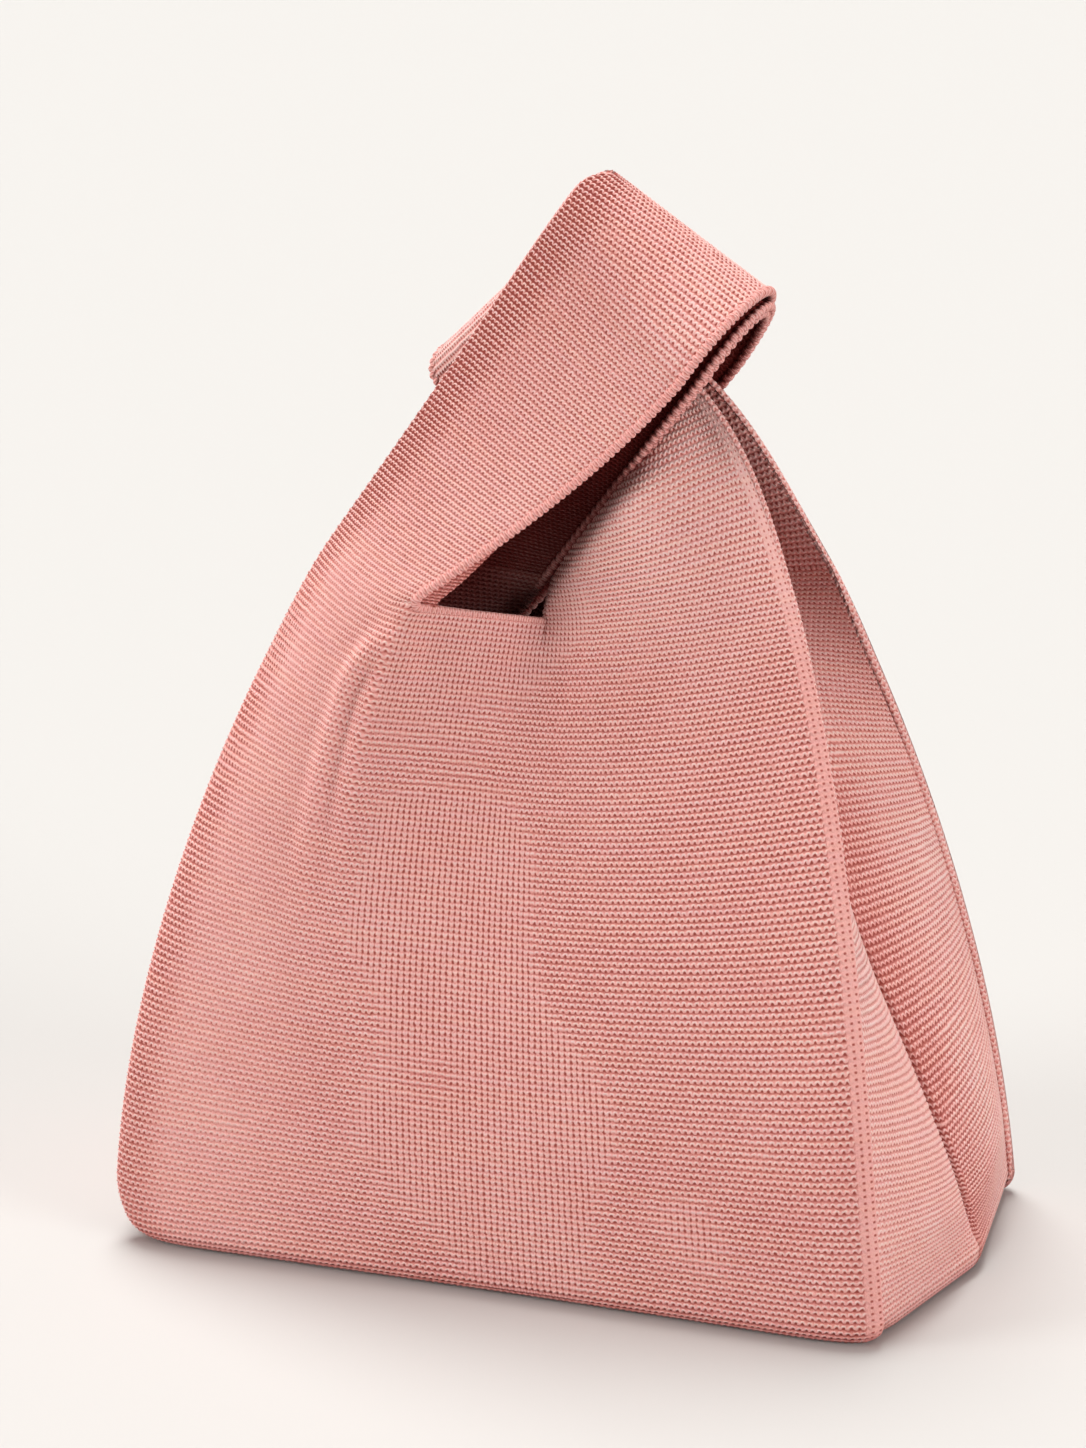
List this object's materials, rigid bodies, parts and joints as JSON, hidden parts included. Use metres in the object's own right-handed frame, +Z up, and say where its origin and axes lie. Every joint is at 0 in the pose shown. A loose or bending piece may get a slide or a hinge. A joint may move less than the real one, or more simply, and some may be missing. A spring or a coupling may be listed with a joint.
{
  "type": "knitted handbag",
  "caption": "Soft knitted shopper bag with inward-folded side gussets and double-layer handle loops, the right loop threaded through the left one to close and carry it.",
  "frame": {"origin": "on the floor under the middle of the base", "axes": "+X to the bag's right, +Y to its back, +Z up"},
  "size_m": [0.32, 0.1752, 0.404],
  "materials": {
    "knit": "heavy ribbed knit in one dusty pink yarn, matt"
  },
  "bodies": {
    "bag": {"front_panel": "knit", "back_panel": "knit", "base_panel": "knit", "left_gusset_front": "knit", "left_gusset_back": "knit", "right_gusset_front": "knit", "right_gusset_back": "knit", "left_gusset_seam": "knit", "right_gusset_seam": "knit", "front_left_seam": "knit", "front_right_seam": "knit", "back_left_seam": "knit", "back_right_seam": "knit", "left_handle_front": "knit", "left_handle_back": "knit", "left_lining_front": "knit", "left_lining_back": "knit", "right_handle_front": "knit", "right_handle_back": "knit", "right_lining_front": "knit", "right_lining_back": "knit", "left_handle_bend_front": "knit", "left_handle_bend_back": "knit", "left_lining_bend_front": "knit", "left_lining_bend_back": "knit"},
    "carry_loop": {"left_handle_top": "knit", "left_lining_top": "knit"},
    "pull_tip": {"right_handle_tip": "knit", "right_lining_tip": "knit"}
  },
  "joints": [
    {"name": "carry_loop_swing", "type": "hinge", "parent": "bag", "child": "carry_loop", "pos_m": [0.02657, 0, 0.35742], "axis": [0.8221, 0, -0.5693], "range_deg": [-30, 30], "stiffness_Nm_per_rad": 0.02, "deforming": ["left_handle_bend_front", "left_handle_bend_back", "left_lining_bend_front", "left_lining_bend_back"]},
    {"name": "right_handle_draw", "type": "slide", "parent": "bag", "child": "pull_tip", "axis": [-0.6921, 0, 0.7218], "range_m": [0, 0.03]}
  ]
}
